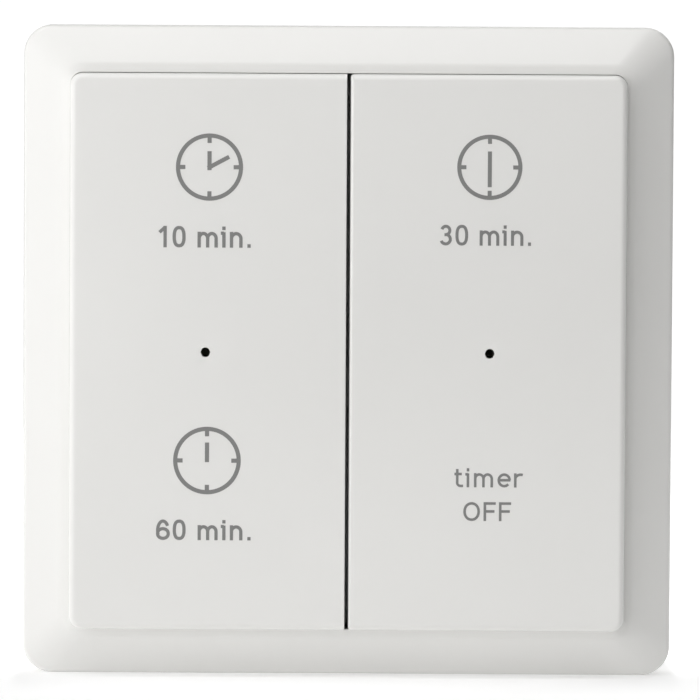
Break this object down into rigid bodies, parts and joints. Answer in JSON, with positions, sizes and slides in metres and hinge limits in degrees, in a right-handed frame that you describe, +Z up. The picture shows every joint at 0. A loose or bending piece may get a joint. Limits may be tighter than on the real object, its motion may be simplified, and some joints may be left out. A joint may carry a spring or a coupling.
{
  "type": "ventilation timer",
  "caption": "Square white wall timer for ventilation: sloping cover frame, two tall rocker keys side by side with lamp holes, clip-on module and screw-on wall plate.",
  "frame": {"origin": "centre of the wall side, midway between the wall screw slots", "axes": "+Z up the wall, +X to the right seen from the front, +Y into the wall; the keys face -Y"},
  "size_m": [0.08, 0.015, 0.08],
  "materials": {
    "key_white": "glossy white",
    "frame_white": "glossy white",
    "plate_white": "fine matt",
    "carrier_white": "fine matt",
    "shell_grey": "fine matt",
    "zinc_steel": "zinc plated",
    "board_green": "solder mask",
    "chip_black": "moulded resin",
    "can_steel": "plain sheet",
    "component_tan": "ceramic",
    "tinned_wire": "tinned",
    "cell_steel": "bright",
    "spring_steel": "plain sheet",
    "clear_guide": "polished",
    "led_resin": "cast resin",
    "switch_black": "moulded",
    "dome_rubber": "moulded",
    "plunger_ivory": "moulded"
  },
  "bodies": {
    "housing": {"wall_plate": "plate_white", "cover_frame": "frame_white", "rear_shell": "shell_grey", "carrier_plate": "carrier_white", "housing_screws": "zinc_steel", "circuit_board": "board_green", "control_chip": "chip_black", "radio_chip": "chip_black", "crystal": "can_steel", "chip_components": "component_tan", "antenna_wire": "tinned_wire", "coin_cell": "cell_steel", "positive_contact": "spring_steel", "negative_contact": "spring_steel", "left_light_guide": "clear_guide", "right_light_guide": "clear_guide", "left_led": "led_resin", "right_led": "led_resin", "left_upper_switch_body": "switch_black", "left_upper_switch_cover": "can_steel", "left_upper_switch_dome": "dome_rubber", "left_lower_switch_body": "switch_black", "left_lower_switch_cover": "can_steel", "left_lower_switch_dome": "dome_rubber", "right_upper_switch_body": "switch_black", "right_upper_switch_cover": "can_steel", "right_upper_switch_dome": "dome_rubber", "right_lower_switch_body": "switch_black", "right_lower_switch_cover": "can_steel", "right_lower_switch_dome": "dome_rubber"},
    "left_key": {"left_rocker": "key_white"},
    "left_upper_push": {"left_upper_plunger": "plunger_ivory"},
    "left_lower_push": {"left_lower_plunger": "plunger_ivory"},
    "right_key": {"right_rocker": "key_white"},
    "right_upper_push": {"right_upper_plunger": "plunger_ivory"},
    "right_lower_push": {"right_lower_plunger": "plunger_ivory"}
  },
  "joints": [
    {"name": "left_rocker_tilt", "type": "hinge", "parent": "housing", "child": "left_key", "pos_m": [-0.01716, -0.0106, 0], "axis": [-1, 0, 0], "range_deg": [-1.9, 1.9], "stiffness_Nm_per_rad": 0.9},
    {"name": "left_upper_push", "type": "slide", "parent": "housing", "child": "left_upper_push", "axis": [0, 1, 0], "range_m": [-0.0005, 0.0005], "deforming": ["left_upper_switch_dome"]},
    {"name": "left_lower_push", "type": "slide", "parent": "housing", "child": "left_lower_push", "axis": [0, 1, 0], "range_m": [-0.0005, 0.0005], "deforming": ["left_lower_switch_dome"]},
    {"name": "right_rocker_tilt", "type": "hinge", "parent": "housing", "child": "right_key", "pos_m": [0.01716, -0.0106, 0], "axis": [-1, 0, 0], "range_deg": [-1.9, 1.9], "stiffness_Nm_per_rad": 0.9},
    {"name": "right_upper_push", "type": "slide", "parent": "housing", "child": "right_upper_push", "axis": [0, 1, 0], "range_m": [-0.0005, 0.0005], "deforming": ["right_upper_switch_dome"]},
    {"name": "right_lower_push", "type": "slide", "parent": "housing", "child": "right_lower_push", "axis": [0, 1, 0], "range_m": [-0.0005, 0.0005], "deforming": ["right_lower_switch_dome"]}
  ],
  "couplings": [
    {"joint": "left_upper_push", "follows": "left_rocker_tilt", "m_per_rad": 0.015},
    {"joint": "left_lower_push", "follows": "left_rocker_tilt", "m_per_rad": -0.015},
    {"joint": "right_upper_push", "follows": "right_rocker_tilt", "m_per_rad": 0.015},
    {"joint": "right_lower_push", "follows": "right_rocker_tilt", "m_per_rad": -0.015}
  ]
}
